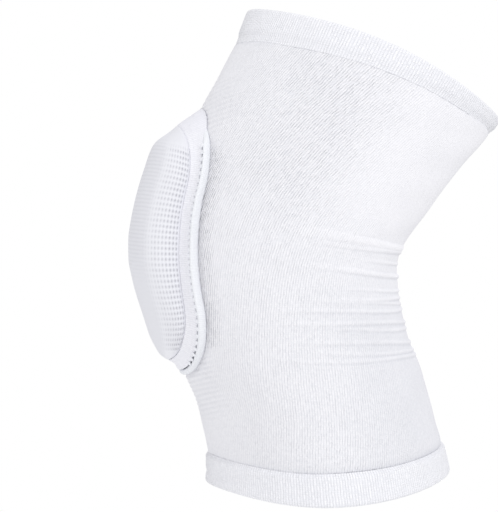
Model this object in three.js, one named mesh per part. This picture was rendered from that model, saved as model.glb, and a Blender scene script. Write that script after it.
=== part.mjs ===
import * as THREE from "three";
import { mergeVertices } from "three/addons/utils/BufferGeometryUtils.js";

// Knit elbow pad: a bent sleeve, open and hemmed at both ends, with a foam pad sewn on the point
// of the elbow. Millimetres, +Z up the upper arm side, -X out of the point of the elbow, and the
// origin in the middle of the joint. The XZ plane halves it.

// Sleeve sizes
const forearmLength = 96.6;
const forearmSetback = 18.5;
const upperArmLength = 83.2;
const upperArmReach = 39;
const elbowDepth = 101.6;
const elbowWidth = 82;
const forearmOpeningDepth = 105.8;
const forearmOpeningWidth = 88;
const upperArmOpeningDepth = 119.8;
const upperArmOpeningWidth = 74;
const forearmRimTilt = THREE.MathUtils.degToRad(3.1);
const elbowBend = THREE.MathUtils.degToRad(26.9);
const sleeveWall = 2;

// Hem and fold sizes
const forearmHemHeight = 13;
const upperHemFrontHeight = 13;
const upperHemBackHeight = 9;
const hemWall = 3.4;
const foldHeight = 1.1;

// Pad sizes
const padHeight = 99;
const padWidth = 56;
const padThickness = 17;
const padSideEdge = 2.6;
const padEndEdge = 5.7;
const padUpperCorner = 25.5;
const padLowerCorner = 24;
const padLift = 5.5;
const borderWidth = 4.6;
const borderSideHeight = 2.2;
const borderUpperHeight = 3.6;
const borderLowerHeight = 2.4;
const rollWidth = 3.2;
const rollSideHeight = 3.4;
const rollUpperHeight = 2.8;
const rollLowerHeight = 1.6;

// Clearance between sewn pieces
const pieceGap = 0.3;

// Colours of the knits
const sleeveWhite = 0xf1f1f5;
const hemWhite = 0xf5f5f9;
const coverGrey = 0xdedfe4;
const borderGrey = 0xe6e6ec;
const rollWhite = 0xf7f8fc;
const knitRoughness = 0.92;

// Shape numbers, without unit
const padTaper = 0.05;
const padRoundness = 2.1;
const edgeSweep = 4;

// Fineness of the faceted surfaces
const around = 44;
const liningRings = 18;
const evenRingPitch = 10;
const padAround = 48;
const crownRings = 9;
const seatRings = 8;
const alongStep = 0.5;
const angleStep = 0.02;
const halvings = 20;

// One row for each section from the forearm rim to the upper arm rim. Height is a share of the
// forearm length below the elbow and of the upper arm length above it, offset a share of the
// setback or the reach, depth a share of a straight taper from elbow to opening, turn a share of
// the bend, and each pinch how far that edge is drawn from an oval toward a fold.
const sections = [
  { height: -1, offset: 1, depth: 1, turn: 0, frontPinch: 0.5, backPinch: 0.24 },
  { height: -0.863, offset: 0.92, depth: 0.975, turn: 0.015, frontPinch: 0.47, backPinch: 0.16 },
  { height: -0.763, offset: 0.8, depth: 0.971, turn: 0.06, frontPinch: 0.42, backPinch: 0.1 },
  { height: -0.649, offset: 0.643, depth: 0.972, turn: 0.07, frontPinch: 0.34, backPinch: 0.07 },
  { height: -0.514, offset: 0.395, depth: 0.995, turn: 0.08, frontPinch: 0.22, backPinch: 0.06 },
  { height: -0.376, offset: 0.162, depth: 0.988, turn: 0.108, frontPinch: 0.1, backPinch: 0.05 },
  { height: -0.235, offset: 0, depth: 0.985, turn: 0.15, frontPinch: 0.02, backPinch: 0.04 },
  { height: -0.098, offset: -0.086, depth: 0.988, turn: 0.234, frontPinch: -0.04, backPinch: 0.04 },
  { height: 0.029, offset: -0.04, depth: 0.994, turn: 0.383, frontPinch: -0.05, backPinch: 0.05 },
  { height: 0.169, offset: 0.015, depth: 0.99, turn: 0.528, frontPinch: -0.03, backPinch: 0.08 },
  { height: 0.315, offset: 0.141, depth: 1.003, turn: 0.64, frontPinch: 0.03, backPinch: 0.13 },
  { height: 0.46, offset: 0.305, depth: 1.007, turn: 0.714, frontPinch: 0.1, backPinch: 0.19 },
  { height: 0.601, offset: 0.479, depth: 1.005, turn: 0.777, frontPinch: 0.18, backPinch: 0.25 },
  { height: 0.722, offset: 0.654, depth: 0.998, turn: 0.83, frontPinch: 0.26, backPinch: 0.31 },
  { height: 0.876, offset: 0.864, depth: 1, turn: 0.907, frontPinch: 0.35, backPinch: 0.38 },
  { height: 1, offset: 1, depth: 1, turn: 1, frontPinch: 0.41, backPinch: 0.41 },
];

// One row for each fold in the crook of the elbow. Height is a share of the forearm length from
// the elbow, rise of the fold height, reach of half the girth from the crook, and fan is how far
// the fold climbs along the arm for each step away from the crook.
const folds = [
  { height: -0.414, rise: 0.6, reach: 0.24, fan: -0.13 },
  { height: -0.341, rise: 0.75, reach: 0.26, fan: -0.1 },
  { height: -0.271, rise: 0.85, reach: 0.32, fan: -0.07 },
  { height: -0.213, rise: 0.7, reach: 0.28, fan: -0.04 },
  { height: -0.159, rise: 0.75, reach: 0.34, fan: -0.01 },
  { height: -0.058, rise: 1, reach: 0.5, fan: 0.04 },
  { height: 0.032, rise: 0.6, reach: 0.36, fan: 0.03 },
  { height: 0.127, rise: 0.9, reach: 0.48, fan: 0.01 },
];

// A hem's section. Out is a share of the hem wall from its middle, up a share of the hem height.
const hemProfile = [
  { out: 0.5, up: 0.5 },
  { out: 0.42, up: 0.85 },
  { out: 0.2, up: 1 },
  { out: -0.25, up: 1 },
  { out: -0.5, up: 0.8 },
  { out: -0.5, up: 0.2 },
  { out: -0.25, up: 0 },
  { out: 0.25, up: 0 },
  { out: 0.48, up: 0.16 },
];

// The pad along its middle line, from its lower end to its upper end. Place is a share of half
// the pad height, rise a share of the way from its edge thickness to its full thickness.
const crown = [
  { place: -1, rise: 0 },
  { place: -0.943, rise: 0.29 },
  { place: -0.8, rise: 0.53 },
  { place: -0.6, rise: 0.67 },
  { place: -0.385, rise: 0.84 },
  { place: -0.17, rise: 0.985 },
  { place: 0.04, rise: 1 },
  { place: 0.4, rise: 0.87 },
  { place: 0.6, rise: 0.8 },
  { place: 0.71, rise: 0.79 },
  { place: 0.836, rise: 0.74 },
  { place: 0.89, rise: 0.5 },
  { place: 1, rise: 0 },
];

// Section of the border. Out is a share of its width, up of its height there, and slope how far
// that height has climbed from the outer height to the pad's edge.
const borderProfile = [
  { out: 1, up: 0, slope: 0 },
  { out: 1, up: 1, slope: 0 },
  { out: 0.5, up: 1, slope: 0.35 },
  { out: 0, up: 1, slope: 1 },
  { out: 0, up: 0, slope: 0 },
  { out: 0.5, up: 0, slope: 0 },
];

// Section of the rolled edge. Out is a share of its width, up of its height.
const rollProfile = [
  { out: 1, up: 0 },
  { out: 1, up: 0.5 },
  { out: 0.78, up: 0.9 },
  { out: 0.48, up: 1 },
  { out: 0.15, up: 0.85 },
  { out: 0, up: 0.5 },
  { out: 0, up: 0 },
];

// Middle line, half sizes and pinches of the sleeve, as curves through the sections
function sectionCentre(row) {
  const below = row.height < 0;
  const rise = row.height * (below ? forearmLength : upperArmLength);
  const offset = row.offset * (below ? forearmSetback : upperArmReach);
  return new THREE.Vector3(offset, 0, rise);
}

function sectionSize(row) {
  const below = row.height < 0;
  const share = Math.abs(row.height);
  const openingDepth = below ? forearmOpeningDepth : upperArmOpeningDepth;
  const openingWidth = below ? forearmOpeningWidth : upperArmOpeningWidth;
  const depth = row.depth * THREE.MathUtils.lerp(elbowDepth, openingDepth, share);
  const width = THREE.MathUtils.lerp(elbowWidth, openingWidth, share);
  return new THREE.Vector3(depth / 2, width / 2, forearmRimTilt - row.turn * elbowBend);
}

const middleLine = new THREE.CatmullRomCurve3(sections.map(sectionCentre));
const sizeLine = new THREE.CatmullRomCurve3(sections.map(sectionSize), false, "catmullrom");
const pinchLine = new THREE.CatmullRomCurve3(
  sections.map((row) => new THREE.Vector3(row.frontPinch, row.backPinch, 0)),
  false,
  "catmullrom",
);
const sleeveLength = middleLine.getLength();

// Point on the sleeve's outer face. Along is the distance up the middle line from the forearm
// rim, and angle turns from the point of the elbow, over the -Y side, to the crook and round.
function facePoint(along, angle) {
  const t = middleLine.getUtoTmapping(THREE.MathUtils.clamp(along / sleeveLength, 0, 1));
  const size = sizeLine.getPoint(t);
  const pinches = pinchLine.getPoint(t);
  const forward = Math.cos(angle);
  const pinch = (forward > 0 ? pinches.x : pinches.y) * forward * forward;
  const point = middleLine.getPoint(t);
  point.x -= size.x * forward * Math.cos(size.z);
  point.y -= size.y * Math.sin(angle) * (1 - pinch);
  point.z -= size.x * forward * Math.sin(size.z);
  return point;
}

// The same point moved out of the face by a height, square to it
function offFace(along, angle, height) {
  const low = THREE.MathUtils.clamp(along, 0, sleeveLength - alongStep);
  const alongFace = facePoint(low + alongStep, angle).sub(facePoint(low, angle));
  const aroundFace = facePoint(along, angle + angleStep).sub(facePoint(along, angle - angleStep));
  const outward = aroundFace.cross(alongFace).normalize();
  return facePoint(along, angle).addScaledVector(outward, height);
}

// Moves each vertex of a closed three.js form to where place puts its two shares, and closes the
// form's own seams
function reshape(form, place) {
  const share = form.attributes.uv;
  const position = form.attributes.position;
  for (let i = 0; i < position.count; i += 1) {
    const point = place(share.getX(i) % 1, share.getY(i));
    position.setXYZ(i, point.x, point.y, point.z);
  }
  form.deleteAttribute("uv");
  form.deleteAttribute("normal");
  const closed = mergeVertices(form);
  closed.computeVertexNormals();
  return closed;
}

// A ring whose section is a closed list of corners, from its outside over its top to its inside
function ringForm(corners, steps, place) {
  const form = new THREE.TorusGeometry(undefined, undefined, corners.length, steps);
  return reshape(form, (share, turn) => {
    const corner = Math.round(turn * corners.length) % corners.length;
    return place(share, corners[corner]);
  });
}

function knit(name, geometry, color) {
  const material = new THREE.MeshStandardMaterial({ color, roughness: knitRoughness, metalness: 0 });
  const mesh = new THREE.Mesh(geometry, material);
  mesh.name = name;
  return mesh;
}

// Distance up the middle line where a line that climbs the sleeve reaches a height, by halving
function alongAtHeight(pointOf, height) {
  let low = 0;
  let high = sleeveLength;
  for (let i = 0; i < halvings; i += 1) {
    const half = (low + high) / 2;
    if (pointOf(half).z < height) {
      low = half;
    } else {
      high = half;
    }
  }
  return low;
}

const elbowAlong = alongAtHeight((along) => middleLine.getPointAt(along / sleeveLength), 0);
const padMiddle = alongAtHeight((along) => facePoint(along, 0), padLift);

// The upper crease, where the hem is lower at the crook than over the pad
function upperCreaseAlong(angle) {
  const toCrook = (1 - Math.cos(angle)) / 2;
  return sleeveLength - THREE.MathUtils.lerp(upperHemFrontHeight, upperHemBackHeight, toCrook);
}

// Lines round the outer face: a crest for each fold, with a hollow between it and the next, and
// plain lines at an even pitch from there to each hem
function crestLines() {
  return folds.map((fold) => ({
    along: elbowAlong + fold.height * forearmLength,
    rise: fold.rise * foldHeight,
    reach: fold.reach,
    fan: fold.fan,
  }));
}

function hollowBetween(one, next) {
  return {
    along: (one.along + next.along) / 2,
    rise: 0,
    reach: Math.min(one.reach, next.reach),
    fan: (one.fan + next.fan) / 2,
  };
}

function evenLines(from, to) {
  const count = Math.max(1, Math.round((to - from) / evenRingPitch));
  return Array.from({ length: count + 1 }, (_, i) => ({
    along: THREE.MathUtils.lerp(from, to, i / count),
    rise: 0,
    reach: 0,
    fan: 0,
  }));
}

function outerLines() {
  const crests = crestLines();
  const foldPitch = (crests[crests.length - 1].along - crests[0].along) / (crests.length - 1);
  const below = evenLines(forearmHemHeight, crests[0].along - foldPitch);
  const above = evenLines(crests[crests.length - 1].along + foldPitch / 2, upperCreaseAlong(0));
  const folded = crests.flatMap((crest, i) =>
    i === 0 ? [crest] : [hollowBetween(crests[i - 1], crest), crest],
  );
  above[above.length - 1].atUpperHem = true;
  return [...below, ...folded, ...above];
}

function innerLines() {
  return Array.from({ length: liningRings }, (_, i) => ({
    along: THREE.MathUtils.lerp(upperCreaseAlong(0), forearmHemHeight, i / (liningRings - 1)),
    rise: -sleeveWall,
    reach: 0,
    fan: 0,
    atUpperHem: i === 0,
  }));
}

// Sleeve: the outer lines going up, then the smooth inner face coming down
function sleeve() {
  const geometry = ringForm([...outerLines(), ...innerLines()], around, (share, line) => {
    const angle = share * 2 * Math.PI;
    const fromCrook = Math.abs(share - 0.5) * 2;
    const held = Math.min(fromCrook, line.reach);
    const climb = line.fan * held * Math.PI * elbowWidth / 2;
    const fade = line.rise > 0 ? Math.cos(held / line.reach * Math.PI / 2) ** 2 : 1;
    const along = line.atUpperHem ? upperCreaseAlong(angle) : line.along + climb;
    return offFace(along, angle, line.rise * fade);
  });
  return knit("sleeve", geometry, sleeveWhite);
}

// Hems: the turned double edge at each end, a rounded ring from its rim to its crease
function hem(name, corners, rimAlong, creaseAlong) {
  const geometry = ringForm(corners, around, (share, corner) => {
    const angle = share * 2 * Math.PI;
    const along = THREE.MathUtils.lerp(rimAlong, creaseAlong(angle), corner.up);
    return offFace(along, angle, corner.out * hemWall - sleeveWall / 2);
  });
  return knit(name, geometry, hemWhite);
}

function lowerHem() {
  return hem("lower_hem", hemProfile, 0, () => forearmHemHeight - pieceGap);
}

function upperHem() {
  const corners = [...hemProfile].reverse();
  return hem("upper_hem", corners, sleeveLength, (angle) => upperCreaseAlong(angle) + pieceGap);
}

// The pad's own plan on the sleeve: across is the distance round the arm from the point of the
// elbow, before the taper toward the upper end, and up the distance along the front of the sleeve
// from the middle of the pad
const padSide = padWidth / 2;
const padEnd = padHeight / 2;
const upperCorner = Math.min(padUpperCorner, padSide);
const lowerCorner = Math.min(padLowerCorner, padSide);

function padOutline() {
  const path = new THREE.Path();
  path.moveTo(padSide, -padEnd + lowerCorner);
  path.lineTo(padSide, padEnd - upperCorner);
  path.absarc(padSide - upperCorner, padEnd - upperCorner, upperCorner, 0, Math.PI / 2);
  path.absarc(upperCorner - padSide, padEnd - upperCorner, upperCorner, Math.PI / 2, Math.PI);
  path.absarc(lowerCorner - padSide, lowerCorner - padEnd, lowerCorner, Math.PI, Math.PI * 1.5);
  path.absarc(padSide - lowerCorner, lowerCorner - padEnd, lowerCorner, Math.PI * 1.5, Math.PI * 2);
  return path;
}

const outline = padOutline();

// Point of the plan at a share of the way round the outline and a distance outside it
function planPoint(share, outset) {
  const point = outline.getPoint(share);
  const tangent = outline.getTangent(share);
  return new THREE.Vector2(point.x + tangent.y * outset, point.y - tangent.x * outset);
}

// Half width of the outline at a height of the plan
function halfWidthAt(up) {
  const corner = up > 0 ? upperCorner : lowerCorner;
  const past = Math.max(0, Math.abs(up) - (padEnd - corner));
  return padSide - corner + Math.sqrt(Math.max(0, corner * corner - past * past));
}

// Distance up the middle line for a distance along the sleeve's front, from its height at the
// middle of the pad
function alongAtFront(up) {
  const step = Math.sign(up) * alongStep;
  let along = padMiddle;
  let left = Math.abs(up);
  let from = facePoint(along, 0);
  while (left > 0) {
    const to = facePoint(along + step, 0);
    const length = from.distanceTo(to);
    along += step * Math.min(1, left / length);
    left -= length;
    from = to;
  }
  return along;
}

// Angle round the section for a distance along its face from the point of the elbow
function angleAtAcross(along, across) {
  const step = Math.sign(across) * angleStep;
  let angle = 0;
  let left = Math.abs(across);
  let from = facePoint(along, 0);
  while (left > 0) {
    const to = facePoint(along, angle + step);
    const length = from.distanceTo(to);
    angle += step * Math.min(1, left / length);
    left -= length;
    from = to;
  }
  return angle;
}

// Point over the sleeve at a place of the plan and a height over the seat of the pad
function overSleeve(plan, height) {
  const along = alongAtFront(plan.y);
  const across = plan.x * (1 - padTaper * plan.y / padEnd);
  return offFace(along, angleAtAcross(along, across), pieceGap + height);
}

// How far the outline has turned from the pad's long sides to its ends, at a height of the plan
function endShare(up) {
  return Math.min(1, Math.abs(up) / padEnd) ** edgeSweep;
}

// A height that differs between the long sides, the upper end and the lower end
function heightRound(up, side, upper, lower) {
  return THREE.MathUtils.lerp(side, up > 0 ? upper : lower, endShare(up));
}

// Thickness of the pad's edge, and of the pad inside it
function edgeThickness(up) {
  return THREE.MathUtils.lerp(padSideEdge, padEndEdge, endShare(up));
}

function crownRise(up) {
  const place = THREE.MathUtils.clamp(up / padEnd, -1, 1);
  const next = Math.max(1, crown.findIndex((row) => row.place >= place));
  const [low, high] = [crown[next - 1], crown[next]];
  return THREE.MathUtils.mapLinear(place, low.place, high.place, low.rise, high.rise);
}

function padThicknessAt(plan) {
  const edge = edgeThickness(plan.y);
  const toSide = Math.min(1, Math.abs(plan.x) / halfWidthAt(plan.y));
  const rounding = (1 - toSide ** padRoundness) ** (1 / padRoundness);
  return edge + (padThickness - edge) * crownRise(plan.y) * rounding;
}

// Foam pad: rings that widen from the crown to the edge, then close again on its seat
function pad() {
  const layers = crownRings + seatRings + 1;
  const form = new THREE.SphereGeometry(1, padAround, layers);
  const geometry = reshape(form, (share, turn) => {
    const layer = Math.round((1 - turn) * layers);
    const onCrown = layer <= crownRings;
    const spread = onCrown
      ? Math.sin((layer / crownRings) * Math.PI / 2)
      : (layers - layer) / seatRings;
    const plan = planPoint(share, 0).multiplyScalar(spread);
    return overSleeve(plan, onCrown ? padThicknessAt(plan) : 0);
  });
  return knit("pad", geometry, coverGrey);
}

// Border: the flat band sewn round the pad, as high as the pad's edge where they meet
function padBorder() {
  const geometry = ringForm(borderProfile, padAround, (share, corner) => {
    const up = planPoint(share, 0).y;
    const outer = heightRound(up, borderSideHeight, borderUpperHeight, borderLowerHeight);
    const height = THREE.MathUtils.lerp(outer, edgeThickness(up), corner.slope);
    return overSleeve(planPoint(share, pieceGap + corner.out * borderWidth), corner.up * height);
  });
  return knit("pad_border", geometry, borderGrey);
}

// Rolled edge outside the border, flatter across the pad's two ends, most of all the lower one
function padEdgeRoll() {
  const inner = pieceGap + borderWidth + pieceGap;
  const geometry = ringForm(rollProfile, padAround, (share, corner) => {
    const up = planPoint(share, 0).y;
    const height = heightRound(up, rollSideHeight, rollUpperHeight, rollLowerHeight);
    return overSleeve(planPoint(share, inner + corner.out * rollWidth), corner.up * height);
  });
  return knit("pad_edge_roll", geometry, rollWhite);
}

const elbowPad = new THREE.Group();
elbowPad.name = "elbow_pad";
elbowPad.add(sleeve());
elbowPad.add(lowerHem());
elbowPad.add(upperHem());
elbowPad.add(pad());
elbowPad.add(padBorder());
elbowPad.add(padEdgeRoll());

export default elbowPad;
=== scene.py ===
import math

import bpy
import numpy as np
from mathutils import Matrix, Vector


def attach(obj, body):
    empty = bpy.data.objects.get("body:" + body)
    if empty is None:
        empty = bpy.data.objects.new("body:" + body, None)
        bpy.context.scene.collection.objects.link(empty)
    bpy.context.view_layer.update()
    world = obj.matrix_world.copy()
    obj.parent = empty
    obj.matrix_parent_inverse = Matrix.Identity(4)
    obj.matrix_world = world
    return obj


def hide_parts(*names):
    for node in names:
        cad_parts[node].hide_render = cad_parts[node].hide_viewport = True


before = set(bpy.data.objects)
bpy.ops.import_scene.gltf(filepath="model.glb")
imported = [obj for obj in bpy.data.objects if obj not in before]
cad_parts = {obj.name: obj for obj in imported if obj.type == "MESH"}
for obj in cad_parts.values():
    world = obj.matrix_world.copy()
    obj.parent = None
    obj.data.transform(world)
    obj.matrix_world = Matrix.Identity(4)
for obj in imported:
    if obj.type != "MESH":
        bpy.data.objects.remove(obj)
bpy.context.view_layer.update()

bpy.ops.object.select_all(action="DESELECT")

# Sleeve: one seamless knit tube, bent at the elbow and open at both ends. Its cloth is laid over
# the sections of a bent arm, with folds in the crook, a groove along the seam of the pad and tight
# bands off the pad's two ends, and is closed into a wall as thick as the knit.
FOREARM_LENGTH = 0.0966
FOREARM_SETBACK = 0.0185
UPPER_ARM_LENGTH = 0.0832
UPPER_ARM_REACH = 0.039
ELBOW_DEPTH = 0.1016
ELBOW_WIDTH = 0.082
FOREARM_OPENING = (0.1058, 0.088)
UPPER_ARM_OPENING = (0.1198, 0.074)
RIM_TILT = math.radians(3.1)
ELBOW_BEND = math.radians(26.9)
SLEEVE_WALL = 0.002
FOREARM_HEM = 0.013
UPPER_HEM_FRONT = 0.013
UPPER_HEM_BACK = 0.009
PIECE_GAP = 0.0003
FACE_STEP = 0.0005
FACE_TURN = 0.02

# Height and offset as shares of the arm's lengths, depth of a straight taper, turn of the bend,
# and how far the front and back edges are drawn from an oval toward a fold
SECTIONS = np.array([
    (-1.000, 1.000, 1.000, 0.000, 0.50, 0.24),
    (-0.863, 0.920, 0.975, 0.015, 0.47, 0.16),
    (-0.763, 0.800, 0.971, 0.060, 0.42, 0.10),
    (-0.649, 0.643, 0.972, 0.070, 0.34, 0.07),
    (-0.514, 0.395, 0.995, 0.080, 0.22, 0.06),
    (-0.376, 0.162, 0.988, 0.108, 0.10, 0.05),
    (-0.235, 0.000, 0.985, 0.150, 0.02, 0.04),
    (-0.098, -0.086, 0.988, 0.234, -0.04, 0.04),
    (0.029, -0.040, 0.994, 0.383, -0.05, 0.05),
    (0.169, 0.015, 0.990, 0.528, -0.03, 0.08),
    (0.315, 0.141, 1.003, 0.640, 0.03, 0.13),
    (0.460, 0.305, 1.007, 0.714, 0.10, 0.19),
    (0.601, 0.479, 1.005, 0.777, 0.18, 0.25),
    (0.722, 0.654, 0.998, 0.830, 0.26, 0.31),
    (0.876, 0.864, 1.000, 0.907, 0.35, 0.38),
    (1.000, 1.000, 1.000, 1.000, 0.41, 0.41),
])
HEIGHT, OFFSET, DEPTH, TURN, FRONT_PINCH, BACK_PINCH = SECTIONS.T
BELOW = HEIGHT < 0
OPEN_DEPTH = np.where(BELOW, FOREARM_OPENING[0], UPPER_ARM_OPENING[0])
OPEN_WIDTH = np.where(BELOW, FOREARM_OPENING[1], UPPER_ARM_OPENING[1])
TO_RIM = np.abs(HEIGHT)
ARM = np.stack([
    OFFSET * np.where(BELOW, FOREARM_SETBACK, UPPER_ARM_REACH),
    HEIGHT * np.where(BELOW, FOREARM_LENGTH, UPPER_ARM_LENGTH),
    DEPTH * (ELBOW_DEPTH + (OPEN_DEPTH - ELBOW_DEPTH) * TO_RIM) / 2,
    (ELBOW_WIDTH + (OPEN_WIDTH - ELBOW_WIDTH) * TO_RIM) / 2,
    RIM_TILT - TURN * ELBOW_BEND,
    FRONT_PINCH,
    BACK_PINCH,
], axis=-1)


def through_sections(t):
    """The arm's columns at a place counted in sections, on a smooth curve through all of them."""
    ends = np.vstack([2 * ARM[0] - ARM[1], ARM, 2 * ARM[-1] - ARM[-2]])
    i = np.clip(np.floor(t).astype(int), 0, len(ARM) - 2)
    f = (t - i)[..., None]
    a, b, c, d = ends[i], ends[i + 1], ends[i + 2], ends[i + 3]
    return b + 0.5 * f * (c - a + f * (2 * a - 5 * b + 4 * c - d + f * (3 * (b - c) + d - a)))


def distance_along(points):
    """Distance from the first point of each line of points to all the others."""
    steps = np.linalg.norm(np.diff(points, axis=-2), axis=-1)
    return np.concatenate([np.zeros_like(steps[..., :1]), np.cumsum(steps, axis=-1)], axis=-1)


PLACES = np.linspace(0, len(ARM) - 1, 3000)
MIDDLE_LINE = through_sections(PLACES)[:, :2]
MIDDLE_ALONG = distance_along(MIDDLE_LINE)
SLEEVE_LENGTH = MIDDLE_ALONG[-1]
ELBOW_ALONG = np.interp(0, MIDDLE_LINE[:, 1], MIDDLE_ALONG)


def face_point(along, angle):
    """Point of the sleeve's outer face, by the distance up its middle line and the angle from the
    point of the elbow over the near side to the crook."""
    along, angle = np.broadcast_arrays(along, angle)
    t = np.interp(along, MIDDLE_ALONG, PLACES)
    x, z, depth, width, tilt, front, back = np.moveaxis(through_sections(t), -1, 0)
    forward = np.cos(angle)
    pinch = np.where(forward > 0, front, back) * forward**2
    reach = depth * forward
    side = width * np.sin(angle) * (1 - pinch)
    return np.stack([x - reach * np.cos(tilt), -side, z - reach * np.sin(tilt)], axis=-1)


def off_face(along, angle, height):
    """The same point moved out of the face by a height, square to it."""
    low = np.clip(along, 0, SLEEVE_LENGTH - FACE_STEP)
    up_face = face_point(low + FACE_STEP, angle) - face_point(low, angle)
    round_face = face_point(along, angle + FACE_TURN) - face_point(along, angle - FACE_TURN)
    outward = np.cross(round_face, up_face)
    outward /= np.linalg.norm(outward, axis=-1, keepdims=True)
    return face_point(along, angle) + outward * np.asarray(height)[..., None]


def upper_crease(angle):
    """Distance up the middle line to the upper hem, which is lower at the crook."""
    to_crook = (1 - np.cos(angle)) / 2
    return SLEEVE_LENGTH - (UPPER_HEM_FRONT + (UPPER_HEM_BACK - UPPER_HEM_FRONT) * to_crook)


def smooth_step(low, high, value):
    share = np.clip((value - low) / (high - low), 0, 1)
    return share * share * (3 - 2 * share)


# The pad's plan on the sleeve: across is the distance round the arm from the point of the elbow,
# up the distance along the front from the middle of the pad
PAD_HALF_WIDTH = 0.028
PAD_HALF_HEIGHT = 0.0495
PAD_UPPER_CORNER = 0.0255
PAD_LOWER_CORNER = 0.024
PAD_LIFT = 0.0055
PAD_TAPER = 0.05
BORDER_WIDTH = 0.0050
ROLL_WIDTH = 0.0025
SEAM_OUTSET = PIECE_GAP + BORDER_WIDTH + PIECE_GAP + ROLL_WIDTH
FRONT_ALONG = np.linspace(0, SLEEVE_LENGTH, 1500)
FRONT_LINE = face_point(FRONT_ALONG, 0)
FRONT_UP = distance_along(FRONT_LINE)
FRONT_UP -= np.interp(PAD_LIFT, FRONT_LINE[:, 2], FRONT_UP)


def tapered(up):
    return 1 - PAD_TAPER * up / PAD_HALF_HEIGHT


def outside_pad(across, up):
    """Distance outside the pad's outline, a rectangle with round corners, in its plan."""
    corner = np.where(up > 0, PAD_UPPER_CORNER, PAD_LOWER_CORNER)
    to_side = np.abs(across) / tapered(up) - (PAD_HALF_WIDTH - corner)
    to_end = np.abs(up) - (PAD_HALF_HEIGHT - corner)
    past = np.hypot(np.maximum(to_side, 0), np.maximum(to_end, 0))
    return past + np.minimum(np.maximum(to_side, to_end), 0) - corner


# Folds of the crook. Height at the crook and where the fold dies out, as shares of the forearm
# from the elbow, reach round the arm as a share of half the girth, rise and half breadth in metres
FOLDS = [
    (0.128, 0.098, 0.50, 0.00070, 0.0024),
    (0.098, 0.073, 0.44, 0.00070, 0.0016),
    (0.020, 0.024, 0.30, 0.00035, 0.0012),
    (-0.060, -0.034, 0.46, 0.00085, 0.0017),
    (-0.135, -0.131, 0.36, 0.00050, 0.0010),
    (-0.178, -0.175, 0.44, 0.00055, 0.0011),
    (-0.205, -0.188, 0.40, 0.00045, 0.0009),
    (-0.232, -0.224, 0.56, 0.00060, 0.0011),
    (-0.295, -0.268, 0.56, 0.00060, 0.0012),
    (-0.331, -0.293, 0.46, 0.00050, 0.0010),
    (-0.394, -0.346, 0.52, 0.00055, 0.0012),
    (-0.439, -0.392, 0.48, 0.00045, 0.0010),
    (-0.458, -0.424, 0.56, 0.00045, 0.0010),
]
FINE_FROM = -0.52
FINE_TO = 0.16
FINE_LINES = 190
PLAIN_LINES = (60, 60)
LINING_LINES = 30
SLEEVE_STEPS = 260
BAND_PITCH = 0.0021
BAND_RISE = 0.00018
BANDS_START = (0.007, 0.010)
BANDS_END = (0.022, 0.032)
BANDS_ACROSS = (0.024, 0.040)
SEAM_GROOVE_DEPTH = 0.0005
CLOTH_WAVES = 0.00010
HEM_SHADE_REACH = 0.0012


def folds(along, angle):
    """Relief of the folds, and their painted shade: darker in the crease under each fold and,
    as a painted highlight, less than nothing on top of them.
    """
    from_crook = np.abs(angle / math.pi - 1)
    relief = np.zeros(np.broadcast(along, angle).shape)
    painted_shade, ridge = relief.copy(), relief.copy()
    for height, far_height, reach, rise, breadth in FOLDS:
        share = np.minimum(from_crook / reach, 1)
        line = ELBOW_ALONG + (height + (far_height - height) * share) * FOREARM_LENGTH
        line = line + 0.0004 * np.sin(13 * from_crook + 70 * height)
        fade = np.cos(share * math.pi / 2) ** 0.7
        beside = (along - line) / breadth
        round_over = fade * np.clip(1 - beside**2, 0, 1)
        relief = np.maximum(relief, rise * round_over)
        ridge = np.maximum(ridge, round_over)
        painted_shade = np.maximum(painted_shade, fade * np.exp(-(((beside + 1.1) / 0.5) ** 2)))
    # Second value: painted shade in the creases, painted highlight on the ridges.
    return relief - 0.0001 * painted_shade, 0.7 * painted_shade - 0.8 * ridge


def hem_groove(angle):
    """Depth of the groove where each hem is sewn on, the lower hem's and the upper hem's."""
    to_crook = (1 - np.cos(angle)) / 2
    return 0.0004 + 0.0004 * to_crook, 0.00008 + 0.0003 * (2 * to_crook - 1) ** 2


def hem_pull(along, angle):
    """The cloth is drawn in to the hems' grooves."""
    lower, upper = hem_groove(angle)
    from_lower = np.clip((along - FOREARM_HEM) / 0.004, 0, 1)
    from_upper = np.clip((upper_crease(angle) - along) / 0.003, 0, 1)
    return -lower * (1 - from_lower) ** 2 - upper * (1 - from_upper) ** 2


def pad_pull(outside, across, up):
    """A groove along the pad's seam, and tight bands across the arm off the pad's two ends."""
    groove = -SEAM_GROOVE_DEPTH * np.exp(-(((outside - SEAM_OUTSET - 0.0004) / 0.0008) ** 2))
    near = smooth_step(*BANDS_START, outside) * (1 - smooth_step(*BANDS_END, outside))
    near = near * (1 - smooth_step(*BANDS_ACROSS, np.abs(across))) * (np.abs(up) > 0.03)
    wave = 2 * math.pi * (up + 0.25 * np.sign(up) * np.abs(across)) / BAND_PITCH
    bands = np.sin(wave + 0.7 * np.sin(90 * across + 60 * up)) * near
    return groove * (1 - smooth_step(0.044, 0.048, up)) + BAND_RISE * bands, bands


def cloth_unevenness(along, angle):
    """Faint waves of a knit that isn't ironed."""
    girth = angle * ELBOW_WIDTH / 2
    return CLOTH_WAVES * (
        np.sin(140 * along + 3 * np.sin(2 * angle + 1))
        + np.sin(230 * girth + 2 * np.sin(40 * along))
        + 0.8 * np.sin(310 * along - 170 * girth)
    )


def mesh_piece(name, points, faces, uvs, material):
    """A new piece from points, four-cornered faces and one UV for each corner of each face."""
    mesh = bpy.data.meshes.new(name)
    mesh.from_pydata(points.tolist(), [], faces.tolist())
    layer = mesh.uv_layers.new(name="cloth")
    layer.data.foreach_set("uv", uvs.reshape(-1).astype(np.float32))
    mesh.shade_smooth()
    mesh.materials.append(material)
    piece = bpy.data.objects.new(name, mesh)
    bpy.context.collection.objects.link(piece)
    return piece


def mark(piece, name, values):
    """Gives each point of a piece a number that its material reads."""
    attribute = piece.data.attributes.new(name, "FLOAT", "POINT")
    attribute.data.foreach_set("value", values.ravel().astype(np.float32))


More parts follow.
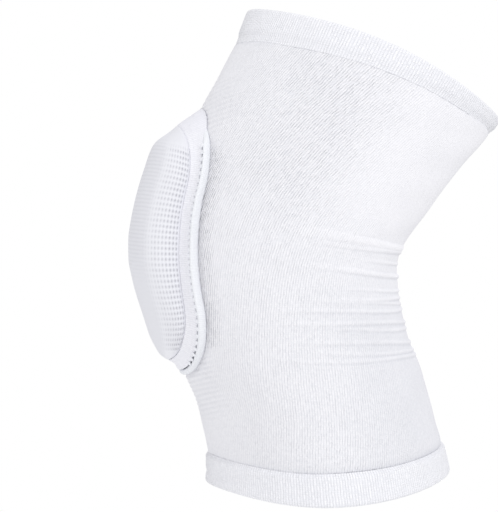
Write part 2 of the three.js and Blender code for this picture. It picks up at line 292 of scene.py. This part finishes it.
def ring_piece(name, rows, material, heights=None):
    """A ring of cloth. rows[i, j] is point j round the arm or the pad of line i of its section,
    and heights[i] where that line lies on the cloth."""
    lines, steps = rows.shape[:2]
    line = np.arange(lines)[:, None]
    step = np.arange(steps)[None, :]
    if heights is None:
        section = distance_along(np.vstack([rows[:, 0], rows[:1, 0]]))
        heights = section[:-1] / section[-1]
    after_line = (line + 1) % lines
    after_step = (step + 1) % steps
    corners = [(line, step), (line, after_step), (after_line, after_step), (after_line, step)]
    faces = np.stack([i * steps + j for i, j in corners], axis=-1).reshape(-1, 4)
    girth = np.stack([step, step + 1, step + 1, step], axis=-1) / steps
    height = heights[np.stack([line, line, after_line, after_line], axis=-1)]
    uvs = np.stack(np.broadcast_arrays(girth, height), axis=-1)
    return mesh_piece(name, rows.reshape(-1, 3), faces, uvs, material)


class Cloth:
    """A knit material, built from its relief and from how much of its plain colour shows."""

    def __init__(self, name):
        self.material = bpy.data.materials.new(name)
        self.material.use_nodes = True
        self.nodes = self.material.node_tree.nodes
        self.links = self.material.node_tree.links
        self.place = self.nodes.new("ShaderNodeTexCoord").outputs["Object"]
        cloth = self.nodes.new("ShaderNodeUVMap")
        cloth.uv_map = "cloth"
        axes = self.nodes.new("ShaderNodeSeparateXYZ")
        self.links.new(cloth.outputs["UV"], axes.inputs[0])
        self.x, self.y = axes.outputs["X"], axes.outputs["Y"]

    def math(self, operation, *values):
        node = self.nodes.new("ShaderNodeMath")
        node.operation = operation
        for socket, value in zip(node.inputs, values):
            if isinstance(value, (int, float)):
                socket.default_value = value
            else:
                self.links.new(value, socket)
        return node.outputs[0]

    def noise(self, scale, detail):
        node = self.nodes.new("ShaderNodeTexNoise")
        node.inputs["Scale"].default_value = scale
        node.inputs["Detail"].default_value = detail
        self.links.new(self.place, node.inputs["Vector"])
        return node.outputs["Fac"]

    def mark(self, name):
        node = self.nodes.new("ShaderNodeAttribute")
        node.attribute_name = name
        return node.outputs["Fac"]

    def chance(self, x, y):
        """A random number for each cell of a pattern."""
        cell = self.nodes.new("ShaderNodeCombineXYZ")
        self.links.new(self.math("FLOOR", x), cell.inputs[0])
        self.links.new(self.math("FLOOR", y), cell.inputs[1])
        node = self.nodes.new("ShaderNodeTexWhiteNoise")
        node.noise_dimensions = "2D"
        self.links.new(cell.outputs[0], node.inputs["Vector"])
        return node.outputs["Value"]

    def stitches(self, columns, courses, lean):
        """Relief of leaning columns of stitches that differ a little, and of the broken dark
        lines where the grooves between them gape."""
        wobble = self.math("MULTIPLY", self.math("SUBTRACT", self.noise(350, 1), 0.5), 0.6)
        across = self.math("MULTIPLY_ADD", self.y, -lean, self.x)
        across = self.math("MULTIPLY_ADD", across, columns, wobble)
        column = self.math("PINGPONG", across, 0.5)
        rib = self.math("POWER", self.math("MULTIPLY", column, 2), 0.5)
        course = self.math("MULTIPLY_ADD", self.y, courses, column)
        loop = self.math("MULTIPLY", self.math("PINGPONG", course, 0.5), 2)
        yarn = self.math("MULTIPLY_ADD", loop, 0.2, 0.25)
        yarn = self.math("MULTIPLY_ADD", self.chance(across, course), 0.55, yarn)
        groove = self.math("MAXIMUM", self.math("MULTIPLY_ADD", column, -3.5, 1), 0)
        nearest = self.math("ADD", across, 0.5)
        along = self.math("MULTIPLY_ADD", self.noise(250, 1), 2, self.math("DIVIDE", course, 1.6))
        gape = self.math("POWER", self.chance(nearest, along), 1.5)
        return self.math("MULTIPLY", rib, yarn), self.math("MULTIPLY", groove, gape)

    def finish(self, relief, shown, color, groove, depth):
        """Surface from a relief. The groove colour takes over where shown falls to nothing."""
        shader = self.nodes["Principled BSDF"]
        shader.inputs["Roughness"].default_value = 0.9
        shader.inputs["Specular IOR Level"].default_value = 0.15
        shader.inputs["Sheen Weight"].default_value = 0.05
        shader.inputs["Sheen Roughness"].default_value = 0.5
        bump = self.nodes.new("ShaderNodeBump")
        bump.inputs["Strength"].default_value = 0.8
        bump.inputs["Distance"].default_value = depth
        self.links.new(relief, bump.inputs["Height"])
        self.links.new(bump.outputs["Normal"], shader.inputs["Normal"])
        tint = self.nodes.new("ShaderNodeMix")
        tint.data_type = "RGBA"
        tint.inputs["A"].default_value = (*groove, 1)
        tint.inputs["B"].default_value = (*color, 1)
        self.links.new(shown, tint.inputs["Factor"])
        self.links.new(tint.outputs["Result"], shader.inputs["Base Color"])
        return self.material


def rib_knit(name, color, groove, columns, courses, depth, lean=0, stretched=None, painted_shade=None):
    """Plain knit with patches of tighter and looser yarn. Its stitches show more and its grooves
    gape where the mark named by stretched is set. It is painted darker, as shade, where the mark
    named by painted_shade is set, and painted lighter, as light, where that mark is below nothing."""
    cloth = Cloth(name)
    relief, gaping = cloth.stitches(columns, courses, lean)
    relief = cloth.math("MULTIPLY_ADD", cloth.noise(900, 2), 0.35, relief)
    if stretched:
        opened = cloth.mark(stretched)
        contrast = cloth.math("MULTIPLY_ADD", opened, 0.95, 0.15)
        relief = cloth.math("MULTIPLY", cloth.math("SUBTRACT", relief, 0.5), contrast)
        relief = cloth.math("MULTIPLY_ADD", cloth.math("MULTIPLY", gaping, opened), -0.5, relief)
        relief = cloth.math("ADD", relief, 0.55)
    shown = cloth.math("MULTIPLY_ADD", cloth.noise(70, 3), 0.2, relief)
    if painted_shade:
        # Painted shade darkens the colour here; painted light lightens it where the mark is negative.
        shown = cloth.math("MULTIPLY_ADD", cloth.mark(painted_shade), -0.25, shown)
    return cloth.finish(relief, shown, color, groove, depth)


angle = np.linspace(0, 2 * math.pi, SLEEVE_STEPS, endpoint=False)[None, :]
length = upper_crease(0) - FOREARM_HEM
fine_from = (ELBOW_ALONG + FINE_FROM * FOREARM_LENGTH - FOREARM_HEM) / length
fine_to = (ELBOW_ALONG + FINE_TO * FOREARM_LENGTH - FOREARM_HEM) / length
share = np.concatenate([
    np.linspace(0, fine_from, PLAIN_LINES[0], endpoint=False),
    np.linspace(fine_from, fine_to, FINE_LINES, endpoint=False),
    np.linspace(fine_to, 1, PLAIN_LINES[1]),
])[:, None]
along = FOREARM_HEM + share * (upper_crease(angle) - FOREARM_HEM)
reached = distance_along(face_point(along, angle))
across = np.minimum(reached, reached[:, -1:] + reached[:, 1:2] - reached)
up = np.interp(along, FRONT_ALONG, FRONT_UP)
outside = outside_pad(across, up)
fold, painted_shade = folds(along, angle)
pull, bands = pad_pull(outside, across, up)
relief = fold + pull + hem_pull(along, angle) + cloth_unevenness(along, angle)
outer = off_face(along, angle, relief)
beside_seam = smooth_step(0.006, 0.009, outside) * (1 - smooth_step(0.010, 0.019, outside))
beside_seam = beside_seam * (1 - smooth_step(0.040, 0.046, np.abs(up)))
upper_arm = smooth_step(0.000, 0.035, along - ELBOW_ALONG) * np.sin(angle) ** 2
to_crook = (1 - np.cos(angle)) / 2
# Upper arm's back: its knit gapes less there, and painted light makes it lighter.
smooth_back_and_painted_light = smooth_step(0.45, 0.75, to_crook) * smooth_step(0.0, 0.030, along - ELBOW_ALONG)
open_knit = (0.15 + 0.35 * np.sin(angle) ** 2 + 0.3 * upper_arm) * (1 - 0.6 * smooth_back_and_painted_light)
open_knit = np.maximum(open_knit, 1.3 * beside_seam)
# Painted shade along the grooves where the hems are sewn on.
hem_shade = np.exp((FOREARM_HEM - along) / HEM_SHADE_REACH) * (0.5 + 1.5 * to_crook)
upper_shade = np.exp((along - upper_crease(angle)) / HEM_SHADE_REACH)
hem_shade += 1.6 * upper_shade * (2 * to_crook - 1) ** 2
# Painted shade on the back of the forearm just under the crook.
painted_crook_shade = 0.8 * smooth_step(0.50, 0.80, to_crook) * smooth_step(0.005, 0.030, ELBOW_ALONG - along)
# Painted shade from the marks above; the bands' troughs are painted darker, crests lighter.
painted_shade = painted_shade - 0.5 * bands + hem_shade + painted_crook_shade - 0.7 * smooth_back_and_painted_light
to_rim = np.linspace(1, 0, LINING_LINES)[:, None]
along = FOREARM_HEM + to_rim * (upper_crease(angle) - FOREARM_HEM)
lining = off_face(along, angle, hem_pull(along, angle) - SLEEVE_WALL)
heights = np.concatenate([share[:, 0], to_rim[:, 0]])
sleeve_knit = rib_knit(
    "sleeve_knit", (0.905, 0.90, 0.935), (0.66, 0.67, 0.72), 310, 240, 0.0004,
    lean=0.13, stretched="open_knit", painted_shade="painted_shade",
)
sleeve = ring_piece("knit_sleeve", np.concatenate([outer, lining]), sleeve_knit, heights)
plain = np.zeros(lining.shape[:2])
mark(sleeve, "open_knit", np.concatenate([open_knit, plain]))
# The sleeve's painted shade and painted light, read by its knit.
mark(sleeve, "painted_shade", np.concatenate([painted_shade, plain]))
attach(sleeve, "root")
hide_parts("sleeve")

# Hems: the cloth turned over and sewn down at each end, so they are twice as thick, rounded at
# the rim and a little puckered where they slope down to the groove that they are sewn in.
HEM_WALL = 0.0034
HEM_RIM = 0.0016
HEM_SLOPES = (0.0016, 0.0045)
HEM_CREASES = (0.38, 0.77)
HEM_PUCKERS = 58


def hem_rows(angle, rim, crease, groove, slope, second_crease):
    """Lines round a hem, each one a point of its section: round the rim, up the outer face,
    through the groove and back up the inner face. Its front has a short second crease."""
    height = np.abs(crease - rim)
    turn = np.linspace(0, math.pi, 15)[:, None]
    up_face = np.sin(np.linspace(0, math.pi / 2, 20))[1:, None]
    face = HEM_RIM + (height - HEM_RIM) * up_face
    in_groove = np.array([[0.6], [0], [-0.6]])
    from_rim = np.concatenate([
        HEM_RIM * (1 - np.sin(turn)) + 0 * height, face, height + 0 * in_groove, face[::-1]
    ])
    out = np.concatenate([-np.cos(turn), 1 + 0 * up_face, in_groove, -1 + 0 * up_face])
    to_groove = smooth_step(height - slope, height, from_rim)
    drop = ((HEM_WALL - SLEEVE_WALL) / 2 + groove) * np.maximum(out, 0) * to_groove
    pucker = 0.00008 * np.sin(HEM_PUCKERS * angle + 1.5 * np.sin(3 * angle))
    at_crease = np.exp(-(((from_rim / height - second_crease) / 0.09) ** 2)) * (out > 0.9)
    drop = drop + 0.0005 * at_crease * np.maximum(np.cos(angle), 0) ** 2
    lift = HEM_WALL / 2 * out - SLEEVE_WALL / 2 - drop + pucker * (from_rim / height) ** 3
    return off_face(rim + np.sign(crease - rim) * from_rim, angle, lift)


hem_knit = rib_knit("hem_knit", (0.93, 0.93, 0.97), (0.72, 0.73, 0.78), 300, 34, 0.0004)
angle = np.linspace(0, 2 * math.pi, SLEEVE_STEPS * 2, endpoint=False)[None, :]
lower_groove, upper_groove = hem_groove(angle)
ends = (FOREARM_HEM - 0.00005 + 0 * angle, upper_crease(angle) - 0.0005)
grooves = (lower_groove, upper_groove - 0.0001)
lower_rows, upper_rows = (
    hem_rows(angle, *hem)
    for hem in zip((0, SLEEVE_LENGTH), ends, grooves, HEM_SLOPES, HEM_CREASES)
)
lower_hem = ring_piece("lower_hem_roll", lower_rows, hem_knit)
upper_hem = ring_piece("upper_hem_roll", upper_rows[::-1], hem_knit)
for hem, node in ((lower_hem, "lower_hem"), (upper_hem, "upper_hem")):
    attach(hem, "root")
    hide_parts(node)

# Pad: a foam cup under a knit cover. It is laid out on the front of the sleeve with the height it
# shows in profile, and swollen a little as cloth under pressure. The cover's open mesh is pressed
# into its steep sides.
PAD_THICKNESS = 0.017
PAD_EDGES = (0.0026, 0.0066, 0.0057)
PAD_ROUNDNESS = 2.1
PAD_COLUMNS = 50
PAD_SWELL = 0.0008
SWELL_PRESSURE = 4
SWELL_FRAMES = 20
COVER_DETAIL = 2
HOLE_ROW_PITCH = 0.00215
HOLE_ROWS = (-19, 18)
END_ROWS = 6
HOLE_DEPTH = 0.0006
HOLES_START = (0.0002, 0.0008)
HOLES_FAINT = (0.003, 0.009)
HOLES_FAINTER = (0.0095, 0.0130)
HOLES_END = (0.0130, 0.0165)
LOWEST_HOLES = (-0.046, -0.041)
HIGHEST_HOLES = (0.036, 0.040)
FRONT_FROM = (0.011, 0.016)
PAINTED_SHADE_TOP = (0.034, 0.042)
FRONT_LINE_PITCH = 0.0015

# Share of half the height, and share of the way from the edge's thickness to the full one
CROWN = np.array([
    (-1.00, 0.000), (-0.943, 0.29), (-0.80, 0.53), (-0.60, 0.67), (-0.385, 0.84),
    (-0.17, 0.985), (0.04, 1.00), (0.40, 0.87), (0.60, 0.79), (0.71, 0.77),
    (0.79, 0.72), (0.836, 0.60), (0.89, 0.39), (0.95, 0.18), (1.00, 0.000),
])
TRIAL_ANGLES = np.linspace(0, 1.6, 161)


def over_sleeve(across, up, height):
    """Point over the sleeve at a place of the pad's plan, before its taper."""
    across, up, height = (a.ravel() for a in np.broadcast_arrays(across, up, height))
    across = across * tapered(up)
    along = np.interp(up, FRONT_UP, FRONT_ALONG)
    reached = distance_along(face_point(along[:, None], TRIAL_ANGLES[None, :]))
    angles = [np.interp(abs(a), line, TRIAL_ANGLES) for a, line in zip(across, reached)]
    return off_face(along, np.sign(across) * angles, PIECE_GAP + height)


def half_width_at(up):
    """Half width of the pad's outline at a height of its plan."""
    corner = np.where(up > 0, PAD_UPPER_CORNER, PAD_LOWER_CORNER)
    past = np.maximum(0, np.abs(up) - (PAD_HALF_HEIGHT - corner))
    return PAD_HALF_WIDTH - corner + np.sqrt(np.maximum(0, corner**2 - past**2))


def height_round(up, heights):
    """A height that differs between the long sides, the upper end and the lower end."""
    side, upper, lower = heights
    to_end = np.minimum(1, np.abs(up) / PAD_HALF_HEIGHT) ** 4
    return side + (np.where(up > 0, upper, lower) - side) * to_end


def pad_height(side, up):
    """Height of the cover over the sleeve at a share of its half width."""
    edge = height_round(up, PAD_EDGES)
    rise = np.interp(up / PAD_HALF_HEIGHT, *CROWN.T)
    rounding = (1 - np.abs(side) ** PAD_ROUNDNESS) ** (1 / PAD_ROUNDNESS)
    return edge + (PAD_THICKNESS - PAD_SWELL - edge) * rise * rounding


# Columns an even distance apart over the crown, so they crowd together on the steep sides
trial = np.linspace(-1, 1, 2001)
middle = np.stack([trial * PAD_HALF_WIDTH, pad_height(trial, 0 * trial)], axis=-1)
over_crown = distance_along(middle)
crown_width = over_crown[-1]
column_share = np.linspace(0, 1, PAD_COLUMNS + 1)
side = np.interp(column_share * crown_width, over_crown, trial)[None, :]
hole_rows = np.arange(HOLE_ROWS[0], HOLE_ROWS[1] + 1) * HOLE_ROW_PITCH
to_end = np.sin(np.arange(1, END_ROWS + 1) / END_ROWS * math.pi / 2)
up = np.concatenate([
    hole_rows[0] - (PAD_HALF_HEIGHT + hole_rows[0]) * to_end[::-1],
    hole_rows,
    hole_rows[-1] + (PAD_HALF_HEIGHT - hole_rows[-1]) * to_end,
])[:, None]
across = side * half_width_at(up)
crown = over_sleeve(across, up, pad_height(side, up))
seat = over_sleeve(across, up, 0)
pad_rows = len(up) - 1
count = (PAD_COLUMNS + 1) * (pad_rows + 1)
row = np.arange(pad_rows)[:, None] * (PAD_COLUMNS + 1)
column = np.arange(PAD_COLUMNS)[None, :]
first = (row + column).ravel()
above = first + PAD_COLUMNS + 1
top_faces = np.stack([first, above, above + 1, first + 1], axis=-1)
border_loop = np.concatenate([
    np.arange(PAD_COLUMNS + 1),
    np.arange(1, pad_rows + 1) * (PAD_COLUMNS + 1) + PAD_COLUMNS,
    pad_rows * (PAD_COLUMNS + 1) + np.arange(PAD_COLUMNS - 1, -1, -1),
    np.arange(pad_rows - 1, 0, -1) * (PAD_COLUMNS + 1),
])
loop_next = np.roll(border_loop, -1)
skirt = np.stack([border_loop, loop_next, loop_next + count, border_loop + count], axis=-1)
faces = np.concatenate([top_faces, skirt, top_faces[:, ::-1] + count])
plan = np.stack(np.broadcast_arrays(column_share[None, :] * crown_width, up), axis=-1)
plan = np.concatenate([plan.reshape(-1, 2)] * 2)

cloth = Cloth("cover_knit")
slant = cloth.math("MULTIPLY_ADD", cloth.x, 0.05, cloth.y)
course = cloth.math("MULTIPLY", slant, 1 / FRONT_LINE_PITCH)
lines = cloth.math("POWER", cloth.math("PINGPONG", course, 0.5), 1.5)
front_lines = cloth.math("MULTIPLY", cloth.mark("on_front"), lines)
yarn = cloth.math("MULTIPLY", cloth.noise(1100, 2), 0.5)
relief = cloth.math("MULTIPLY_ADD", front_lines, 1.2, yarn)
shown = cloth.math("SUBTRACT", 1, cloth.mark("mesh_hole"))
shown = cloth.math("MULTIPLY_ADD", front_lines, -0.4, shown)
# Painted shade over the pad's front face and its upper end.
shown = cloth.math("MULTIPLY_ADD", cloth.mark("painted_pad_shade"), -0.16, shown)
shown = cloth.math("MULTIPLY_ADD", cloth.noise(60, 3), -0.06, shown)
cover_knit = cloth.finish(relief, shown, (0.84, 0.845, 0.89), (0.47, 0.47, 0.52), 0.0002)
pad = mesh_piece("pad_cover", np.concatenate([crown, seat]), faces, plan[faces], cover_knit)

pinned = pad.vertex_groups.new(name="sewn_edge")
pinned.add(sorted(set(border_loop.tolist()) | set(range(count, 2 * count))), 1.0, "REPLACE")
bpy.context.view_layer.objects.active = pad
before = np.array([v.co for v in pad.data.vertices])
swell = pad.modifiers.new("swell", "CLOTH")
swell.settings.vertex_group_mass = "sewn_edge"
swell.settings.use_pressure = True
swell.settings.uniform_pressure_force = SWELL_PRESSURE
swell.settings.quality = 6
swell.settings.effector_weights.gravity = 0
swell.point_cache.frame_end = SWELL_FRAMES
for number in range(1, SWELL_FRAMES + 1):
    bpy.context.scene.frame_set(number)
bpy.ops.object.modifier_apply(modifier="swell")
after = np.array([v.co for v in pad.data.vertices])
moved = after - before
length = np.linalg.norm(moved, axis=1, keepdims=True)
print("pad swell mm", (length.max() * 1000).round(3), (length.mean() * 1000).round(3))
capped = before + moved * np.minimum(1, PAD_SWELL / np.maximum(length, 1e-9))
pad.data.vertices.foreach_set("co", capped.ravel())
fine = pad.modifiers.new("fine", "SUBSURF")
fine.levels = fine.render_levels = COVER_DETAIL
bpy.ops.object.modifier_apply(modifier="fine")

vertices = len(pad.data.vertices)
normals = np.empty(vertices * 3)
places = np.empty(vertices * 3)
pad.data.vertex_normals.foreach_get("vector", normals)
pad.data.vertices.foreach_get("co", places)
corner_vertex = np.empty(len(pad.data.loops), dtype=int)
corner_uv = np.empty(len(pad.data.loops) * 2)
pad.data.loops.foreach_get("vertex_index", corner_vertex)
pad.data.uv_layers["cloth"].data.foreach_get("uv", corner_uv)
plan = np.zeros((vertices, 2))
plan[corner_vertex] = corner_uv.reshape(-1, 2)
up = plan[:, 1]
from_edge = np.minimum(plan[:, 0], crown_width - plan[:, 0])
in_mesh = smooth_step(*HOLES_START, from_edge)
in_mesh *= 1 - 0.4 * smooth_step(*HOLES_FAINT, from_edge)
in_mesh *= 1 - 0.7 * smooth_step(*HOLES_FAINTER, from_edge)
in_mesh *= 1 - smooth_step(*HOLES_END, from_edge)
in_mesh *= smooth_step(*LOWEST_HOLES, up) * (1 - smooth_step(*HIGHEST_HOLES, up))
hole = np.clip(0.5 + np.cos(2 * math.pi * from_edge * PAD_COLUMNS / crown_width), 0, 1)
hole *= np.clip(0.5 + np.cos(2 * math.pi * up / HOLE_ROW_PITCH), 0, 1) * in_mesh
# Painted shade over the pad's front face and its upper end; the front lines start there too.
painted_pad_shade = np.maximum(smooth_step(*FRONT_FROM, from_edge), smooth_step(*PAINTED_SHADE_TOP, up))
on_front = smooth_step(*FRONT_FROM, from_edge) * smooth_step(-0.020, 0.0, up)
on_front *= 1 - smooth_step(0.036, 0.044, up)
places = places.reshape(-1, 3) - normals.reshape(-1, 3) * (HOLE_DEPTH * hole)[:, None]
pad.data.vertices.foreach_set("co", places.ravel())
mark(pad, "mesh_hole", hole)
mark(pad, "on_front", on_front)
mark(pad, "painted_pad_shade", painted_pad_shade)
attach(pad, "root")
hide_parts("pad")

# Border: the flat knit band that is sewn down all round the pad, highest where it meets the pad.
# Over the upper end it widens into a smooth slope that covers the rolled edge too.
BORDER_HEIGHTS = (0.0022, 0.0036, 0.0024)
SLOPE_WIDTHS = (0.0078, 0.0108)
SLOPE_START = (0.037, 0.047)
SLOPE_OVER_PAD = 0.0007
OUTLINE_STEPS = 560


def outline_points(steps):
    """Evenly spaced points of the pad's outline and the directions square out of it."""
    w, h = PAD_HALF_WIDTH, PAD_HALF_HEIGHT
    upper, lower = PAD_UPPER_CORNER, PAD_LOWER_CORNER
    arcs = [
        (w - upper, h - upper, upper, 0),
        (upper - w, h - upper, upper, 90),
        (lower - w, lower - h, lower, 180),
        (w - lower, lower - h, lower, 270),
    ]
    points = []
    for x, y, radius, start in arcs:
        turn = np.radians(start + np.linspace(0, 90, 60))
        points.append(np.stack([x + radius * np.cos(turn), y + radius * np.sin(turn)], axis=-1))
    points = np.concatenate(points + [points[0][:1]])
    travelled = distance_along(points)
    wanted = np.linspace(0, travelled[-1], steps, endpoint=False)
    placed = np.stack([np.interp(wanted, travelled, points[:, i]) for i in (0, 1)], axis=-1)
    tangent = np.roll(placed, -1, axis=0) - np.roll(placed, 1, axis=0)
    tangent /= np.linalg.norm(tangent, axis=1, keepdims=True)
    outward = np.stack([tangent[:, 1], -tangent[:, 0]], axis=-1)
    return placed, outward, travelled[-1]


edge, edge_out, edge_length = outline_points(OUTLINE_STEPS)
edge_up = edge[:, 1]
beside_pad = height_round(edge_up, PAD_EDGES)
on_slope = smooth_step(*SLOPE_START, edge_up)


def seam_ring(name, section, material):
    """A ring that follows the outline. section gives, for each of its lines, how far outside the
    outline it runs and its height over the sleeve."""
    rows = [over_sleeve(*(edge + edge_out * outset[:, None]).T, height) for outset, height in section]
    return ring_piece(name, np.stack(rows), material)


border_height = height_round(edge_up, BORDER_HEIGHTS)
crease_depth = 0.0007 * smooth_step(0.040, 0.045, -edge_up)
slope_end = smooth_step(0.0440, 0.0495, edge_up)
slope_width = SLOPE_WIDTHS[0] + (SLOPE_WIDTHS[1] - SLOPE_WIDTHS[0]) * slope_end
border_width = BORDER_WIDTH + (slope_width - BORDER_WIDTH) * on_slope
over_pad = SLOPE_OVER_PAD * on_slope
stitch_groove = 0.0003 * (1 - on_slope) * (1 - smooth_step(0.032, 0.038, -edge_up))
section = [(PIECE_GAP + border_width * 0.98, 0 * edge_up)]
for share in np.linspace(1, 0, 17):
    climb = (1 - share) ** 2.2
    drop = 0.00025 * math.sin(math.pi * share) + 0.0003 * smooth_step(0.90, 1.0, share)
    drop = drop + crease_depth * (1 - smooth_step(0, 0.1, share))
    height = border_height * (1 - climb) + beside_pad * climb - drop
    outset = (PIECE_GAP + border_width - stitch_groove + over_pad) * share - over_pad
    slope = beside_pad * (1 - outset / border_width)
    slope = slope - SLOPE_OVER_PAD * (1 - smooth_step(0, 0.1, share))
    height = height + (slope - height) * on_slope
    section.append((outset + 0.00005, np.maximum(height, 0.0001)))
section.append((0.0001 + 0 * edge_up, 0 * edge_up))
border_knit = rib_knit(
    "border_knit", (0.90, 0.90, 0.945), (0.79, 0.79, 0.85), 300, 10, 0.0002, painted_shade="painted_slope_shade"
)
border = seam_ring("pad_border_band", section, border_knit)
# Painted shade over the slope at the pad's upper end.
mark(border, "painted_slope_shade", np.tile(1.6 * on_slope, (len(section), 1)))
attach(border, "root")
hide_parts("pad_border")

# Rolled edge: the outer edge of the cover, rolled under and bound with overlock thread, which
# shows as close ridges across it. It is flatter across the pad's lower end, and is narrower
# toward the upper end, where it sinks under the slope.
ROLL_HEIGHTS = (0.0034, 0.0028, 0.0016)
STITCH_PITCH = 0.0026

stitch_count = round(edge_length / STITCH_PITCH)
round_edge = np.arange(OUTLINE_STEPS) / OUTLINE_STEPS
roll_height = height_round(edge_up, ROLL_HEIGHTS)
roll_inner = PIECE_GAP + BORDER_WIDTH + PIECE_GAP
roll_width = ROLL_WIDTH - 0.0005 * smooth_step(0.005, 0.035, edge_up)
binding = 0.00006 * np.cos(4 * math.pi * stitch_count * round_edge)


def under_slope(outset, height):
    """The height of the roll, held down to just under the slope of the border."""
    slope = np.maximum(0, beside_pad * (1 - outset / slope_width) - 0.0005)
    return height + (np.minimum(height, slope) - height) * on_slope


section = [(roll_inner + roll_width, 0 * edge_up)]
for turn in np.linspace(0.12, math.pi - 0.12, 14):
    outset = roll_inner + roll_width * (0.5 + 0.5 * math.cos(turn))
    bowed = roll_height * math.sin(turn) ** 0.75
    section.append((outset, under_slope(outset, bowed + binding)))
section.append((roll_inner + 0 * edge_up, 0 * edge_up))
roll_knit = rib_knit("roll_knit", (0.87, 0.885, 0.92), (0.78, 0.79, 0.84), 420, 12, 0.00015)
roll = seam_ring("pad_rolled_edge", section, roll_knit)
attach(roll, "root")
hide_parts("pad_edge_roll")

# Overlock stitches: flat loops of thread that bridge the groove between the border and the rolled
# edge. They lean the way they were sewn, and leave a small dark hole after each one.
EDGE_STITCH = (0.0028, 0.0018, 0.0008)
STITCH_LEAN = 0.25
STITCHED = (-0.0455, 0.0400)


def thread_row(name, centres, ahead, above, size, material):
    """Short threads, all of one size, each with its length along ahead and its back to above."""
    bpy.ops.mesh.primitive_uv_sphere_add(segments=10, ring_count=6, radius=0.5)
    bead = bpy.context.object
    corners = np.array([v.co for v in bead.data.vertices]) * size
    faces = [list(face.vertices) for face in bead.data.polygons]
    uvs = np.array([loop.uv for loop in bead.data.uv_layers[0].data])
    bpy.data.objects.remove(bead)
    lengthwise = ahead - centres
    lengthwise /= np.linalg.norm(lengthwise, axis=1, keepdims=True)
    sideways = np.cross(above - centres, lengthwise)
    sideways /= np.linalg.norm(sideways, axis=1, keepdims=True)
    axes = np.stack([lengthwise, sideways, np.cross(lengthwise, sideways)], axis=1)
    points = centres[:, None] + corners @ axes
    mesh = bpy.data.meshes.new(name)
    count = len(corners)
    faces = [[i + n * count for i in face] for n in range(len(centres)) for face in faces]
    mesh.from_pydata(points.reshape(-1, 3).tolist(), [], faces)
    layer = mesh.uv_layers.new(name="cloth")
    layer.data.foreach_set("uv", np.tile(uvs, (len(centres), 1)).ravel().astype(np.float32))
    mesh.shade_smooth()
    mesh.materials.append(material)
    piece = bpy.data.objects.new(name, mesh)
    bpy.context.collection.objects.link(piece)
    return piece


thread = rib_knit("sewing_thread", (0.90, 0.91, 0.95), (0.80, 0.80, 0.86), 6, 3, 0.0001)
stitch_edge, stitch_out, edge_length = outline_points(stitch_count)
sewn = (stitch_edge[:, 1] > STITCHED[0]) & (stitch_edge[:, 1] < STITCHED[1])
stitch_edge, stitch_out = stitch_edge[sewn], stitch_out[sewn]
spots = stitch_edge + stitch_out * (PIECE_GAP * 1.5 + BORDER_WIDTH)
along_edge = np.stack([-stitch_out[:, 1], stitch_out[:, 0]], axis=-1)
ends = spots + (stitch_out + along_edge * STITCH_LEAN) * EDGE_STITCH[0] / 2
groove_height = height_round(stitch_edge[:, 1], BORDER_HEIGHTS)
centres = over_sleeve(*spots.T, groove_height)
ahead = over_sleeve(*ends.T, groove_height + 0.0002)
above = over_sleeve(*spots.T, groove_height + 0.001)
stitches = thread_row("edge_stitches", centres, ahead, above, EDGE_STITCH, thread)
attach(stitches, "root")

# Studio: a pale floor far below the held-up pad, an even white sky, one soft lamp to the right
# above the camera and a weak wide one low on the left.
CAMERA_DISTANCE = 0.328
CAMERA_X = -0.01584
CAMERA_Z = -0.00044
PIXEL = 0.00044
IMAGE_HEIGHT = 512
SENSOR = 36
FLOOR_DROP = 0.45
FLOOR_SIZE = 1.6
FLOOR_PAINT = (0.9, 0.9, 0.9, 1)
WHITE = (1, 1, 1, 1)
LAMPS = [
    ("key_lamp", (0.70, -0.90, 1.0), 0.5, 6.0),
    ("low_lamp", (-0.45, -0.75, -0.42), 0.8, 1.7),
]
SKY_LIGHT = 0.86

camera_data = bpy.data.cameras.new("camera")
camera_data.sensor_width = SENSOR
camera_data.lens = SENSOR * CAMERA_DISTANCE / (PIXEL * IMAGE_HEIGHT)
camera = bpy.data.objects.new("camera", camera_data)
camera.location = (CAMERA_X, -CAMERA_DISTANCE, CAMERA_Z)
camera.rotation_euler = (math.pi / 2, 0, 0)
bpy.context.collection.objects.link(camera)
bpy.context.scene.camera = camera

bpy.ops.object.select_all(action="DESELECT")
bpy.ops.mesh.primitive_plane_add(size=FLOOR_SIZE, location=(0, 0, -FLOOR_DROP))
floor = bpy.context.object
floor.name = "studio_floor"
paint = bpy.data.materials.new("pale_floor")
paint.use_nodes = True
paint.node_tree.nodes["Principled BSDF"].inputs["Base Color"].default_value = FLOOR_PAINT
paint.node_tree.nodes["Principled BSDF"].inputs["Roughness"].default_value = 0.9
floor.data.materials.append(paint)

for name, place, size, watts in LAMPS:
    lamp_data = bpy.data.lights.new(name, "AREA")
    lamp_data.shape = "DISK"
    lamp_data.size = size
    lamp_data.energy = watts
    lamp = bpy.data.objects.new(name, lamp_data)
    lamp.location = place
    lamp.rotation_euler = (-Vector(place)).to_track_quat("-Z", "Y").to_euler()
    bpy.context.collection.objects.link(lamp)

world = bpy.data.worlds.new("white_sky")
world.use_nodes = True
sky = world.node_tree.nodes["Background"]
sky.inputs["Color"].default_value = WHITE
sky.inputs["Strength"].default_value = SKY_LIGHT
seen_sky = world.node_tree.nodes.new("ShaderNodeBackground")
seen_sky.inputs["Color"].default_value = WHITE
seen_sky.inputs["Strength"].default_value = 1.0
ray = world.node_tree.nodes.new("ShaderNodeLightPath")
choose = world.node_tree.nodes.new("ShaderNodeMixShader")
world.node_tree.links.new(ray.outputs["Is Camera Ray"], choose.inputs[0])
world.node_tree.links.new(sky.outputs[0], choose.inputs[1])
world.node_tree.links.new(seen_sky.outputs[0], choose.inputs[2])
world.node_tree.links.new(choose.outputs[0], world.node_tree.nodes["World Output"].inputs[0])
bpy.context.scene.world = world
bpy.context.scene.view_settings.view_transform = "Standard"
